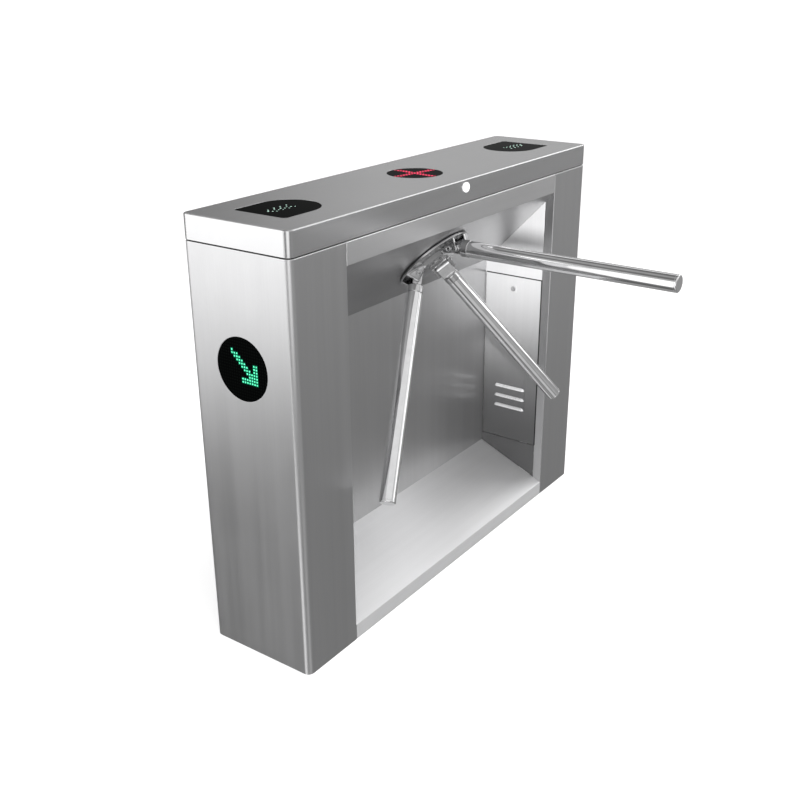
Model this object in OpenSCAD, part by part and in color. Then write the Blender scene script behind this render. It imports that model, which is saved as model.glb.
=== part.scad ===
// Tripod turnstile with a bridge-shaped sheet-metal cabinet, for counting visitors.
// The origin is the centre of the cabinet's footprint on the floor.
// X runs along the cabinet, -Y is the lane side that the arms reach to, +Z is up.

/* [Cabinet] */
// Length of the cabinet
body_l = 1200; // [1196:1:1206]
// Depth of the cabinet
body_d = 280; // [278:1:284]
// Height of the shell below the lid's shadow gap
shell_h = 926; // [925:1:930]
// Radius of the upright corners
corner_r = 15; // [13:1:18]
// Thickness of the sheet metal
sheet_t = 1.5; // [1.2:0.1:1.8]
// Outer radius of the sheet's folds
fold_r = 2.5; // [2:0.1:3]
// Clear width of the niche between the pillars
niche_w = 866; // [862:1:870]
// Depth of the niche from the front face to its back panel
niche_d = 200; // [198:1:202]
// Height of the niche floor at the front
floor_front_z = 38; // [30:1:45]
// Height of the niche floor at the back
floor_back_z = 123; // [118:1:128]
// Height of the bend between the header strip and the sloped plate
bend_z = 878; // [875:1:880]

/* [Lid] */
// Gap between the shell and the lid
lid_gap = 2; // [1.5:0.1:3]
// Height of the lid
lid_h = 52; // [48:1:56]
// Radius of the lid's folded top edges
lid_edge_r = 3; // [2:0.5:4]
// Radius of the round indicator window in the lid
centre_window_r = 65; // [60:1:68]
// Width of the D-shaped reader windows
reader_w = 138; // [130:1:142]
// Length of the reader windows along the lid
reader_l = 153; // [148:1:158]
// Distance of each reader window's flat end from the middle of the lid
reader_end_x = 525; // [515:1:530]

/* [End window] */
// Radius of the arrow window in each end face
arrow_window_r = 68; // [64:1:70]
// Height of the arrow window's centre
arrow_window_z = 682; // [660:1:700]

/* [Doors] */
// Width of each pillar door
door_w = 170; // [168:1:171]
// Height of each pillar door
door_h = 486; // [470:1:487]
// Height of each door's lower edge
door_z = 149.5; // [149:0.5:152]
// Length of a louvre
louvre_l = 96; // [80:1:110]
// Number of louvres
louvre_n = 3; // [2:1:4]

/* [Tripod] */
// Tilt of the rotor's axis below the horizontal, equal to the arms' cone angle
tilt = 44; // [44:0.5:44.5]
// Distance of the rotor's axis down the sloped plate from its top bend
hub_drop = 125; // [123:1:127]
// Radius of the hub disc
hub_r = 97; // [95:1:98]
// Outer diameter of the arm tubes
arm_d = 38; // [36:1:38]
// Distance from an arm's pivot to its tip
arm_reach = 544; // [480:1:560]

/* [Hidden] */
$fn = 96;

// Cabinet planes
front_y = -body_d / 2;
rear_y = body_d / 2;
niche_x = niche_w / 2;
niche_back_y = front_y + niche_d;
end_x = body_l / 2;
lid_z = shell_h + lid_gap;
lid_top_z = lid_z + lid_h;
lid_lock_z = lid_z + 34;
lid_lock_proud = 4;
reader_y = 3;
reader_corner_r = 10;
return_w = 25;
top_return_w = 20;
seam = 0.3;
foot_h = 32;
anchor_x = 540;
anchor_y = 100;
anchor_r = 7;
top_frame_h = 20;

// The sloped plate and the rotor's place on it
hub_y = front_y + hub_drop * sin(tilt);
hub_z = bend_z - hub_drop * cos(tilt);
function slope_z(y) = bend_z - (y - front_y) / tan(tilt);
function floor_z(y) = floor_front_z + (y - front_y) * (floor_back_z - floor_front_z) / niche_d;

// Doors
door_side_gap = 3;
door_y = niche_back_y - door_side_gap - door_w / 2;
door_gap = 2;
jamb_lap = 11;
fold_d = 11.5;
door_lock_z = door_z + door_h - 34.5;
louvre_z = 246;
louvre_pitch = 30;
louvre_r = 8;
cam_reach = 30;
tab_y = 50;

// Hub, ears and arms
hub_gap = 2;
hub_face = 7;
boss_h = 16;
pivot_h = 18;
pivot_r = 47 + pivot_h * tan(tilt);
ear_in = 19.5;
ear_out = 25.5;
ear_recess = 1.5;
ear_border = 2.6;
bolt_r = 5;
fit = 0.05;
press = 0.02;
tongue_w = 37;
tongue_r = 10.5;
collar_r = arm_d / 2 + 0.8;
collar_start = 25;
collar_end = 45;
spigot_l = 30;
arm_wall = 2;
cap_l = 6;
spigot_r = arm_d / 2 - arm_wall - fit;

// Mechanism, as depths behind the outer face of the sloped plate
plate_front = sheet_t;
plate_t = 8;
front_plate_back = plate_front + plate_t;
rear_plate_front = 112;
rear_plate_back = rear_plate_front + plate_t;
shaft_r = 15;
shaft_end = 140;
bearing_r = 31;
bearing_w = 16;
housing_r = 42;
gear_depth = 40;
gear_w = 10;
gear_module = 2;
gear_teeth = 60;
pinion_teeth = 20;
pinion_angle = -30;
pinion_dist = gear_module * (gear_teeth + pinion_teeth) / 2;
lock_depth = 62;
lock_w = 8;
lock_r = 60;
pawl_angle = 30;
pawl_depth = lock_depth + 1;
pawl_w = 6;
pawl_pin_r = 4;
pawl_pivot = [74, 48];
rod_r = 5;

// ---- shared shapes ----

module block(low, high) translate(low) cube(high - low);

// The cabinet's plan outline, set in by a distance
module plan(inset = 0) {
    l = body_l - 2 * inset;
    w = body_d - 2 * inset;
    r = corner_r - inset;
    square([l - 2 * r, w], center = true);
    square([l, w - 2 * r], center = true);
    for (x = [-1, 1], y = [-1, 1])
        translate([x * (l / 2 - r), y * (w / 2 - r)]) circle(r);
}

// A block on the cabinet's plan with its top edges rounded like a folded sheet's
module rounded_block(h, r) {
    straight_x = body_l / 2 - corner_r;
    straight_y = body_d / 2 - corner_r;
    rotate([90, 0, 90]) linear_extrude(2 * straight_x, center = true) rounded_face(body_d, h, r);
    rotate([90, 0, 0]) linear_extrude(2 * straight_y, center = true) rounded_face(body_l, h, r);
    for (x = [-1, 1], y = [-1, 1]) translate([x * straight_x, y * straight_y, 0])
        rotate_extrude() {
            square([corner_r, h - r]);
            square([corner_r - r, h]);
            translate([corner_r - r, h - r]) circle(r);
        }
}

// A rectangle that stands on the origin, with two rounded upper corners
module rounded_face(l, h, r) {
    translate([-l / 2, 0]) square([l, h - r]);
    translate([-l / 2 + r, 0]) square([l - 2 * r, h]);
    for (s = [-1, 1]) translate([s * (l / 2 - r), h - r]) circle(r);
}

// What is cut from a square corner at the origin to round it, for material towards +X and +Y
module corner_cut() {
    difference() {
        translate([-1, -1]) square(fold_r + 1);
        translate([fold_r, fold_r]) circle(fold_r);
    }
}

module edge_cut(h) translate([0, 0, -1]) linear_extrude(h + 2) corner_cut();

// Stretches a (y, z) outline along X, centred
module along_x(l) rotate([90, 0, 90]) linear_extrude(l, center = true) children();

// The rotor's frame: Z outward along its axis, Y up the sloped plate
module hub_frame() translate([0, hub_y, hub_z]) rotate([90 + tilt, 0, 0]) children();

// The same frame, with Z pointing inward from a depth behind the plate
module at_depth(d) hub_frame() translate([0, 0, -d]) children();

// A disc or ring behind the sloped plate, from one depth to another
module ring_at(from, to, outer, inner = 0) {
    at_depth(to) difference() {
        cylinder(h = to - from, r = outer);
        if (inner > 0) translate([0, 0, -1]) cylinder(h = to - from + 2, r = inner);
    }
}

// One arm's frame: origin at the pivot, Z along the arm, X along the pivot bolt
module arm_frame(k) {
    hub_frame() rotate([0, 0, -120 * k]) translate([0, pivot_r, pivot_h])
        rotate([-tilt, 0, 0]) children();
}

// A capsule along Y, for stamped louvres
module capsule(l, r) {
    rotate([90, 0, 0]) cylinder(h = l - 2 * r, r = r, center = true, $fn = 40);
    for (s = [-1, 1]) translate([0, s * (l / 2 - r), 0]) sphere(r, $fn = 40);
}

// Points of an involute spur gear with some backlash
function involute(angle) = tan(angle) * 180 / PI - angle;
function half_tooth(teeth, r, base_r) =
    90 / teeth - 0.08 * 180 / PI / (gear_module * teeth / 2) + involute(20)
    - involute(acos(min(1, base_r / r)));
function gear_points(teeth) =
    let (pitch_r = gear_module * teeth / 2, base_r = pitch_r * cos(20),
         low_r = max(base_r, pitch_r - 1.2 * gear_module),
         radii = [low_r, (low_r + pitch_r) / 2, pitch_r, pitch_r + 0.95 * gear_module])
    [for (i = [0 : teeth - 1], side = [-1, 1], j = [-1 : 3])
        let (n = side < 0 ? j : 2 - j,
             r = n < 0 ? pitch_r - 1.25 * gear_module : radii[n],
             a = 360 * i / teeth + side * half_tooth(teeth, max(r, low_r), base_r))
        r * [cos(a), sin(a)]];

// ---- cabinet ----

// Flat foot plate with four anchor holes, cable openings and an upstand inside the skin
module base_frame() {
    color("dimgray") difference() {
        union() {
            linear_extrude(5) plan(sheet_t + seam);
            linear_extrude(foot_h - 2) difference() {
                plan(sheet_t + seam);
                plan(sheet_t + seam + 3);
            }
        }
        for (x = [-1, 1], y = [-1, 1])
            translate([x * anchor_x, y * anchor_y, -1]) cylinder(h = 8, r = anchor_r);
        for (s = [0, 1]) mirror([s, 0, 0]) {
            block([475, -60, -1], [555, 60, 8]);
            block([20, -90, -1], [400, 90, 8]);
        }
    }
}

// The right pillar's U-shaped skin, folded inward along its top and down the niche's edge
module end_shell() {
    difference() {
        union() {
            intersection() {
                difference() {
                    rounded_block(shell_h, fold_r);
                    translate([0, 0, -1]) linear_extrude(shell_h + 1 - sheet_t) plan(sheet_t);
                    top_opening();
                }
                block([niche_x, front_y - 1, -1], [end_x + 1, rear_y + 1, shell_h + 1]);
            }
            block(
                [niche_x, front_y, foot_h],
                [niche_x + sheet_t, front_y + return_w, shell_h - top_frame_h - 2]
            );
        }
        translate([end_x, 0, arrow_window_z]) rotate([0, 90, 0])
            cylinder(h = 20, r = arrow_window_r + 0.15, center = true);
        translate([niche_x, front_y, 0]) edge_cut(shell_h);
    }
}

// The opening inside the shell's folded top edge
module top_opening() {
    translate([0, 0, shell_h - 50]) linear_extrude(60)
        square([body_l - 2 * top_return_w, body_d - 2 * top_return_w], center = true);
}

module left_end_shell() color("lightgray") mirror([1, 0, 0]) end_shell();
module right_end_shell() color("lightgray") end_shell();

module rear_panel() {
    color("lightgray") {
        half = niche_x - seam;
        difference() {
            intersection() {
                rounded_block(shell_h, fold_r);
                block([-half, rear_y - top_return_w, 0], [half, rear_y, shell_h]);
            }
            block([-half - 1, 0, -1], [half + 1, rear_y - sheet_t, shell_h - sheet_t]);
            top_opening();
        }
        for (x = [-half, half - sheet_t])
            block([x, rear_y - 15, foot_h], [x + sheet_t, rear_y, shell_h - top_frame_h - 2]);
    }
}

// Front strip and sloped plate, bent from one sheet, with folded ends and a shaft opening
module header_panel() {
    half = niche_x - seam;
    fold = sheet_t * (1 - cos(tilt)) / sin(tilt);
    foot = sheet_t / sin(tilt);
    end_low = bend_z + 8;
    end_high = shell_h - top_frame_h - 2;
    color("silver") difference() {
        union() {
            along_x(2 * half) difference() {
                polygon([
                    [front_y, shell_h], [front_y, bend_z],
                    [niche_back_y, slope_z(niche_back_y)], [niche_back_y, slope_z(niche_back_y) + foot],
                    [front_y + sheet_t, bend_z + fold], [front_y + sheet_t, shell_h - sheet_t],
                    [front_y + top_return_w, shell_h - sheet_t], [front_y + top_return_w, shell_h]
                ]);
                translate([front_y, shell_h]) mirror([0, 1]) corner_cut();
            }
            for (x = [-half, half - sheet_t])
                block([x, front_y, end_low], [x + sheet_t, front_y + 12, end_high]);
        }
        ring_at(-5, 10, 30);
        for (side = [0, 1]) mirror([side, 0, 0]) translate([-half, front_y, 0]) edge_cut(shell_h);
    }
}

module niche_back_panel() {
    color("darkgray") block(
        [-niche_x - sheet_t, niche_back_y, floor_back_z - sheet_t],
        [niche_x + sheet_t, niche_back_y + sheet_t, slope_z(niche_back_y) + 2]
    );
}

// Skirt and sloping floor of the niche
module niche_floor_panel() {
    color("silver") along_x(niche_w - 2 * seam) polygon([
        [front_y, 0], [front_y + sheet_t, 0], [front_y + sheet_t, floor_front_z - 1],
        [niche_back_y, floor_back_z - sheet_t], [niche_back_y, floor_back_z],
        [front_y, floor_front_z]
    ]);
}

// Inner wall of one pillar: skin above and below the door, and the jamb behind the door
module side_panel() {
    panel_y = front_y + return_w + 0.8;
    top_z = door_z + door_h + door_gap;
    low_z = door_z - 2;
    translate([niche_x + sheet_t / 2, 0, 0]) along_x(sheet_t) {
        polygon([
            [panel_y, top_z], [niche_back_y, top_z],
            [niche_back_y, slope_z(niche_back_y)], [panel_y, slope_z(panel_y)]
        ]);
        polygon([
            [panel_y, floor_z(panel_y)], [niche_back_y, floor_z(niche_back_y)],
            [niche_back_y, low_z], [panel_y, low_z]
        ]);
    }
    difference() {
        block(
            [niche_x + sheet_t, front_y + 8, low_z - 20],
            [niche_x + 2 * sheet_t, niche_back_y, top_z + 20]
        );
        block(
            [niche_x, door_y - door_w / 2 + jamb_lap, door_z + jamb_lap],
            [niche_x + 5, door_y + door_w / 2 - jamb_lap, door_z + door_h - jamb_lap]
        );
        for (s = [-1, 1]) translate([niche_x + 2, door_y + s * tab_y, door_z + 5])
            cube([6, 24, 15], center = true);
    }
}

module right_side_panel() color("gainsboro") side_panel();
module left_side_panel() color("gainsboro") mirror([1, 0, 0]) side_panel();

// Angle ring inside the top of the shell that carries the gasket
module top_frame() {
    color("dimgray") {
        translate([0, 0, shell_h - top_frame_h]) linear_extrude(top_frame_h - sheet_t) difference() {
            plan(sheet_t);
            plan(sheet_t + 2);
        }
        translate([0, 0, shell_h - sheet_t - 2]) linear_extrude(2) difference() {
            plan(sheet_t);
            square([body_l - 44, body_d - 44], center = true);
        }
    }
}

module lid_gasket() {
    color("black") translate([0, 0, shell_h]) linear_extrude(lid_gap - 0.2) difference() {
        plan(4);
        square([body_l - 36, body_d - 36], center = true);
    }
}

// Stepped disc in one end face, seen from outside as a black window
module arrow_window(side) {
    translate([side * (end_x - 0.5), 0, arrow_window_z]) rotate([0, -90 * side, 0]) {
        cylinder(h = 3.5, r = arrow_window_r);
        translate([0, 0, sheet_t - 0.5]) cylinder(h = 2.5, r = arrow_window_r + 6);
    }
}

module left_arrow_window() color("black") arrow_window(-1);
module right_arrow_window() color("black") arrow_window(1);

// Dot-matrix board behind each end window
module arrow_displays() {
    color("darkgreen") for (side = [-1, 1])
        translate([side * (end_x - 4.2), 0, arrow_window_z]) rotate([0, -90 * side, 0]) {
            translate([-46, -46, 0]) cube([92, 92, 7]);
            translate([0, 0, 7]) cylinder(h = 1.6, r = arrow_window_r - 2);
            for (a = [45 : 90 : 315]) rotate([0, 0, a])
                translate([arrow_window_r - 8, 0, -0.2]) cylinder(h = 7.2, r = 3);
        }
}

// ---- mechanism behind the sloped plate ----

post_places = [[-60, 57], [60, 57], [-86, -80], [86, -80]];
stud_places = [[-50, 78], [50, 78], [-50, -85], [50, -85]];

module mechanism_front_plate() {
    color("slategray") difference() {
        at_depth(front_plate_back) translate([-122, -95, 0]) cube([244, 183, plate_t]);
        ring_at(0, 20, 24);
        for (p = stud_places) at_depth(20) translate(p) cylinder(h = 30, r = 4.5);
    }
}

module mechanism_rear_plate() {
    color("slategray") difference() {
        at_depth(rear_plate_back) translate([-98, -95, 0]) cube([196, 160, plate_t]);
        ring_at(rear_plate_front - 5, rear_plate_back + 5, 24);
        pinion_place(rear_plate_back + 5) cylinder(h = 30, r = 14);
    }
}

module spacer_posts() {
    color("silver") for (p = post_places) at_depth(rear_plate_front)
        translate(p) cylinder(h = rear_plate_front - front_plate_back, r = 6);
}

// Flanged ring round each shaft bearing
module bearing_housings() {
    front_lip = front_plate_back + 2.5;
    rear_lip = rear_plate_front - 2.5;
    color("gray") {
        ring_at(front_plate_back, front_lip, 50, 24);
        ring_at(front_lip, front_lip + bearing_w + 1, housing_r, bearing_r + press);
        ring_at(rear_lip, rear_plate_front, 50, 24);
        ring_at(rear_lip - bearing_w - 1, rear_lip, housing_r, bearing_r + press);
    }
}

module bearing(from) {
    difference() {
        ring_at(from, from + bearing_w, bearing_r, shaft_r + fit);
        ring_at(from - 1, from + 1, 27, 20);
        ring_at(from + bearing_w - 1, from + bearing_w + 1, 27, 20);
    }
}

module shaft_bearings() {
    color("silver") {
        bearing(front_plate_back + 2.5);
        bearing(rear_plate_front - 2.5 - bearing_w);
    }
}

module pinion_place(depth) {
    at_depth(depth) translate(pinion_dist * [cos(pinion_angle), sin(pinion_angle)])
        children();
}

module drive_motor() {
    motor_l = 56;
    color("black") difference() {
        union() {
            pinion_place(rear_plate_back + motor_l) cylinder(h = motor_l, r = 30);
            pinion_place(rear_plate_back) cylinder(h = plate_t - 0.5, r = 13.9);
            pinion_place(rear_plate_back + motor_l + 6) cylinder(h = 6, r = 24);
        }
        pinion_place(rear_plate_back + 6) cylinder(h = 20, r = 6 + fit);
    }
}

// Frame of one lock: X outward along its radius, Y down round the lock disc
module lock_frame(side, depth) {
    at_depth(depth) mirror([side > 0 ? 0 : 1, 0, 0]) rotate([0, 0, pawl_angle])
        mirror([0, 1, 0]) children();
}

module lock_solenoid(side) {
    difference() {
        union() {
            lock_frame(side, lock_depth + 17) translate([94, -13, 0]) cube([40, 26, 26]);
            lock_frame(side, lock_depth) translate([98, -10, 0])
                cube([26, 20, lock_depth - front_plate_back]);
        }
        lock_frame(side, lock_depth + 4) rotate([0, 90, 0]) cylinder(h = 128, r = pawl_pin_r + fit);
    }
}

module left_lock_solenoid() color("dimgray") lock_solenoid(-1);
module right_lock_solenoid() color("dimgray") lock_solenoid(1);

// Shouldered pin with a retaining head for each pawl
module pawl_pins() {
    color("silver") for (side = [-1, 1]) {
        shoulder = pawl_depth - 0.4;
        head = pawl_depth + pawl_w + 0.4;
        lock_frame(side, shoulder) translate(pawl_pivot)
            cylinder(h = shoulder - front_plate_back, r = 7);
        lock_frame(side, head) translate(pawl_pivot) cylinder(h = head - shoulder, r = pawl_pin_r);
        lock_frame(side, head + 2) translate(pawl_pivot) cylinder(h = 2, r = 7);
    }
}

// Solenoid on a bracket behind the rear plate, in line with the shaft
module release_solenoid() {
    body_from = 146;
    body_to = 170;
    color("dimgray") difference() {
        union() {
            ring_at(body_from, body_to, 17);
            at_depth(body_to + 3) translate([-42, -8, 0]) cube([84, 16, 3]);
            for (x = [-42, 38]) at_depth(body_to)
                translate([x, -8, 0]) cube([4, 16, body_to - rear_plate_back]);
        }
        ring_at(body_from - 5, body_to + 5, rod_r + fit);
    }
}

// Slotted light gate round the edge of the encoder disc
module encoder_sensor() {
    color("black") difference() {
        at_depth(138) translate([-8, -48, 0]) cube([16, 24, 138 - rear_plate_back]);
        at_depth(132) translate([-9, -36, 0]) cube([18, 14, 6]);
    }
}

// Nuts on the plate's welded studs, and the posts' screws behind the rear plate
module mechanism_screws() {
    color("silver") {
        for (p = stud_places) at_depth(20) translate(p) {
            cylinder(h = 20 - plate_front, r = 4);
            translate([0, 0, 20 - front_plate_back - 6.5]) cylinder(h = 6.5, r = 7.5, $fn = 6);
        }
        for (p = post_places) at_depth(rear_plate_back + 4) translate(p) difference() {
            cylinder(h = 4, r = 5);
            translate([0, 0, -1]) cylinder(h = 3, r = 2.3, $fn = 6);
        }
    }
}

// ---- electrics ----

// Circuit board on stand-offs against the left pillar's rear wall
module control_board() {
    board = [130, 1.6, 180];
    stand_off = 10;
    corner = [-582, rear_y - sheet_t - stand_off, 420];
    // Low corner and size of each component on the board's front face
    components = [
        [[12, -14, 10], [30, 14, 20]],
        [[52, -12, 10], [65, 12, 12]],
        [[22, -3, 80], [30, 3, 30]],
        [[82, -18, 140], [20, 18, 25]]
    ];
    color("darkgreen") translate(corner) {
        cube(board);
        for (c = components) translate(c[0]) cube(c[1]);
        for (x = [6, board.x - 6], z = [6, board.z - 6]) translate([x, 0, z])
            rotate([-90, 0, 0]) cylinder(h = stand_off, r = 3);
    }
}

// Ventilated box fastened to the right pillar's rear wall
module power_supply() {
    size = [110, rear_y - sheet_t - 92, 190];
    slot_h = 6;
    slot_pitch = 14;
    color("silver") translate([460, 92, 330]) difference() {
        cube(size);
        for (i = [0 : 7]) translate([12, -1, 60 + slot_pitch * i])
            cube([size.x - 24, 5, slot_h]);
    }
}

// Sealed totaliser on a short rail in the right pillar
module counter_module() {
    rail_y = 131;
    case = [50, 35, 45];
    face = [42, 2, 24];
    color("black") {
        block([480, rail_y, 560], [560, rear_y - sheet_t, 595]);
        translate([490, rail_y - case.y, 555]) cube(case);
        translate([494, rail_y - case.y - face.y, 566]) cube(face);
    }
}

// ---- rotor ----

// Outline of one ear in its radial plane, set in by a distance: from the rim over a rounded
// apex to the boss
module ear_outline(inset = 0) {
    apex = [74, 28];
    apex_r = 7 - inset;
    foot_z = hub_face + inset;
    rim = [hub_r - 4 - 3 * inset, foot_z];
    inner = [43 + 1.6 * inset, boss_h + inset / 2];
    to_rim = rim - apex;
    to_inner = inner - apex;
    first = atan2(to_rim.y, to_rim.x) + acos(apex_r / norm(to_rim));
    last = atan2(to_inner.y, to_inner.x) + 360 - acos(apex_r / norm(to_inner));
    polygon(concat(
        inset > 0 ? [[inner.x, foot_z]] : [[40, foot_z - 2], [rim.x, foot_z - 2]],
        [rim],
        [for (i = [0 : 8]) let (a = first + (last - first) * i / 8)
            apex + apex_r * [cos(a), sin(a)]],
        [inner],
        inset > 0 ? [] : [[40, boss_h]]
    ));
}

// Disc with a raised boss and three pairs of ears
module hub() {
    color("silver") hub_frame() difference() {
        union() {
            translate([0, 0, hub_gap]) cylinder(h = hub_face - hub_gap, r = hub_r);
            translate([0, 0, hub_face]) cylinder(h = boss_h - hub_face, r1 = 60, r2 = 42);
            for (k = [0 : 2], side = [0, 1]) rotate([0, 0, -120 * k]) mirror([side, 0, 0]) ear();
        }
        translate([0, 0, -1]) cylinder(h = 13, r = shaft_r + press);
        translate([0, 0, 11]) cylinder(h = 20, r = 20);
        for (k = [0 : 2]) rotate([0, 0, -120 * k]) translate([0, pivot_r, pivot_h])
            rotate([0, 90, 0]) cylinder(h = 80, r = bolt_r + press, center = true);
    }
}

// A plate with a shallow recess in its outer face, inside a raised border
module ear() {
    difference() {
        translate([(ear_in + ear_out) / 2, 0, 0]) along_x(ear_out - ear_in) ear_outline();
        translate([ear_out, 0, 0]) along_x(2 * ear_recess) ear_outline(ear_border);
    }
}

module hub_cap() {
    color("silver") hub_frame() translate([0, 0, 13]) {
        cylinder(h = 3, r = 19.9);
        translate([0, 0, 3]) cylinder(h = 2.2, r1 = 24, r2 = 22);
        translate([0, 0, 5.2]) cylinder(h = 0.8, r1 = 18, r2 = 16);
    }
}

module main_shaft() color("gray") ring_at(-12, shaft_end, shaft_r, rod_r + fit);

module main_gear() {
    color("goldenrod") difference() {
        union() {
            at_depth(gear_depth + gear_w) linear_extrude(gear_w) polygon(gear_points(gear_teeth));
            ring_at(gear_depth - 6, gear_depth, 24);
        }
        ring_at(gear_depth - 10, gear_depth + gear_w + 5, shaft_r + press);
        for (a = [0 : 60 : 300]) at_depth(gear_depth + gear_w + 1) rotate([0, 0, a])
            translate([39, 0, 0]) cylinder(h = gear_w + 2, r = 9);
    }
}

// Disc with a notch for the pawls every sixth of a turn
module lock_disc() {
    color("gray") difference() {
        union() {
            ring_at(lock_depth, lock_depth + lock_w, lock_r);
            ring_at(lock_depth - 6, lock_depth, 22);
        }
        ring_at(lock_depth - 10, lock_depth + lock_w + 5, shaft_r + press);
        for (a = [pawl_angle : 60 : 359]) at_depth(lock_depth + lock_w + 1) rotate([0, 0, a])
            translate([lock_r - 9, -6.5, 0]) cube([20, 13, lock_w + 2]);
    }
}

module encoder_disc() {
    color("black") difference() {
        union() {
            ring_at(128, 130, 32);
            ring_at(rear_plate_back + 2, 128, 20);
        }
        ring_at(100, 135, shaft_r + press);
        for (a = [0 : 15 : 345]) at_depth(131) rotate([0, 0, a])
            translate([25, -1.5, 0]) cube([5, 3, 4]);
    }
}

// Bolt with a ring-shaped head at both ends through each pair of ears
module pivot_bolts() {
    color("silver") for (k = [0 : 2]) arm_frame(k) rotate([0, 90, 0]) {
        cylinder(h = 2 * ear_out, r = bolt_r, center = true);
        for (side = [0, 1]) mirror([0, 0, side]) difference() {
            translate([0, 0, ear_out - ear_recess]) cylinder(h = 3.5, r = 6.5);
            translate([0, 0, ear_out - ear_recess + 1.2]) cylinder(h = 4, r = 4.2);
        }
    }
}

// Tongue, collar and spigot turned and milled in one piece
module arm_root() {
    difference() {
        union() {
            rotate([0, 90, 0]) cylinder(h = tongue_w, r = tongue_r, center = true);
            block([-tongue_w / 2, -tongue_r, 0], [tongue_w / 2, tongue_r, collar_start + 1]);
            translate([0, 0, collar_start]) cylinder(h = 2, r1 = collar_r - 2, r2 = collar_r);
            translate([0, 0, collar_start + 2])
                cylinder(h = collar_end - collar_start - 4, r = collar_r);
            translate([0, 0, collar_end - 2]) cylinder(h = 2, r1 = collar_r, r2 = arm_d / 2);
            translate([0, 0, collar_end]) cylinder(h = spigot_l, r = spigot_r);
        }
        rotate([0, 90, 0]) cylinder(h = 80, r = bolt_r + fit, center = true);
    }
}

module arm_tube() {
    tube_l = arm_reach - cap_l - collar_end;
    translate([0, 0, collar_end]) difference() {
        cylinder(h = tube_l, r = arm_d / 2);
        translate([0, 0, -1]) cylinder(h = tube_l + 2, r = arm_d / 2 - arm_wall);
    }
}

// Plug with a rounded rim that closes the tube
module arm_cap() {
    round_r = 3;
    translate([0, 0, arm_reach - cap_l]) {
        translate([0, 0, -20]) cylinder(h = 20, r = spigot_r);
        rotate_extrude() polygon(concat(
            [[0, 0], [arm_d / 2, 0]],
            [for (a = [0 : 15 : 90])
                [arm_d / 2 - round_r + round_r * cos(a), cap_l - round_r + round_r * sin(a)]],
            [[0, cap_l]]
        ));
    }
}

module side_arm_roots() color("silver") for (k = [1, 2]) arm_frame(k) arm_root();
module side_arm_tubes() color("silver") for (k = [1, 2]) arm_frame(k) arm_tube();
module side_arm_caps() color("silver") for (k = [1, 2]) arm_frame(k) arm_cap();
module barrier_arm_root() color("silver") arm_frame(0) arm_root();
module barrier_arm_tube() color("silver") arm_frame(0) arm_tube();
module barrier_arm_cap() color("silver") arm_frame(0) arm_cap();

// Pinion and the motor shaft that it is cut on
module pinion() {
    color("goldenrod") {
        pinion_place(gear_depth + gear_w) rotate([0, 0, 180 + pinion_angle + 180 / pinion_teeth])
            linear_extrude(gear_w) polygon(gear_points(pinion_teeth));
        pinion_place(rear_plate_back + 5) cylinder(h = rear_plate_back + 5 - gear_depth - gear_w, r = 6);
    }
}

// Lever with a nose that drops into the lock disc's notch
module pawl(side) {
    reach = pawl_pivot.y;
    lock_frame(side, pawl_depth + pawl_w) difference() {
        union() {
            translate(pawl_pivot) cylinder(h = pawl_w, r = 9);
            translate([pawl_pivot.x - 6, -7, 0]) cube([12, reach + 7, pawl_w]);
            translate([63.5, -7, 0]) cube([8, 8, pawl_w]);
        }
        translate(concat(pawl_pivot, -1)) cylinder(h = pawl_w + 2, r = pawl_pin_r + fit);
    }
}

module left_pawl() color("gray") pawl(-1);
module right_pawl() color("gray") pawl(1);

// Solenoid core with a domed nose that presses on the pawl
module plunger(side) {
    nose = pawl_pivot.x + 6.5;
    lock_frame(side, lock_depth + 4) rotate([0, 90, 0]) {
        translate([0, 0, nose + pawl_pin_r]) cylinder(h = 26, r = pawl_pin_r);
        translate([0, 0, nose + pawl_pin_r]) sphere(pawl_pin_r);
    }
}

module left_plunger() color("silver") plunger(-1);
module right_plunger() color("silver") plunger(1);

module release_rod() color("silver") ring_at(-11, 160, rod_r);

// ---- lid ----

// Plan of a reader window: straight at the cabinet's end, half round towards the middle
module reader_outline(side, grow = 0) {
    r = reader_w / 2 + grow;
    end = reader_l - reader_w / 2 + grow;
    translate([side * (reader_end_x - end + grow), reader_y]) mirror([side > 0 ? 0 : 1, 0]) {
        circle(r);
        translate([0, -r]) square([end - reader_corner_r, 2 * r]);
        translate([0, reader_corner_r - r]) square([end, 2 * (r - reader_corner_r)]);
        for (s = [-1, 1]) translate([end - reader_corner_r, s * (r - reader_corner_r)])
            circle(reader_corner_r);
    }
}

// Folded cover with its openings, the lock's collar and the hinges' moving leaves welded on
module lid_cover() {
    color("silver") difference() {
        union() {
            translate([0, 0, lid_z]) rounded_block(lid_h, lid_edge_r);
            translate([0, front_y + 0.5, lid_lock_z]) rotate([90, 0, 0]) {
                cylinder(h = lid_lock_proud - 1, r = 11.5);
                translate([0, 0, lid_lock_proud - 1]) cylinder(h = 1, r1 = 11.5, r2 = 10.5);
            }
        }
        translate([0, 0, lid_z - 1]) linear_extrude(lid_h + 1 - sheet_t) plan(sheet_t);
        translate([0, 0, lid_z]) linear_extrude(lid_h + 1) {
            for (side = [-1, 1]) reader_outline(side, 0.15);
            circle(centre_window_r + 0.15);
        }
        translate([0, front_y, lid_lock_z]) rotate([90, 0, 0])
            cylinder(h = 20, r = 8 + fit, center = true);
    }
    color("silver") lid_hinge_arms();
}

// Each window sits half a millimetre below the lid's face, on a flange glued under the sheet
module window_steps(top_h = 3) {
    translate([0, 0, lid_top_z - sheet_t - 2]) linear_extrude(2) children(1);
    translate([0, 0, lid_top_z - top_h - 0.5]) linear_extrude(top_h) children(0);
}

module reader_windows() {
    color("black") for (side = [-1, 1]) window_steps() {
        reader_outline(side);
        reader_outline(side, 6);
    }
}

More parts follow.
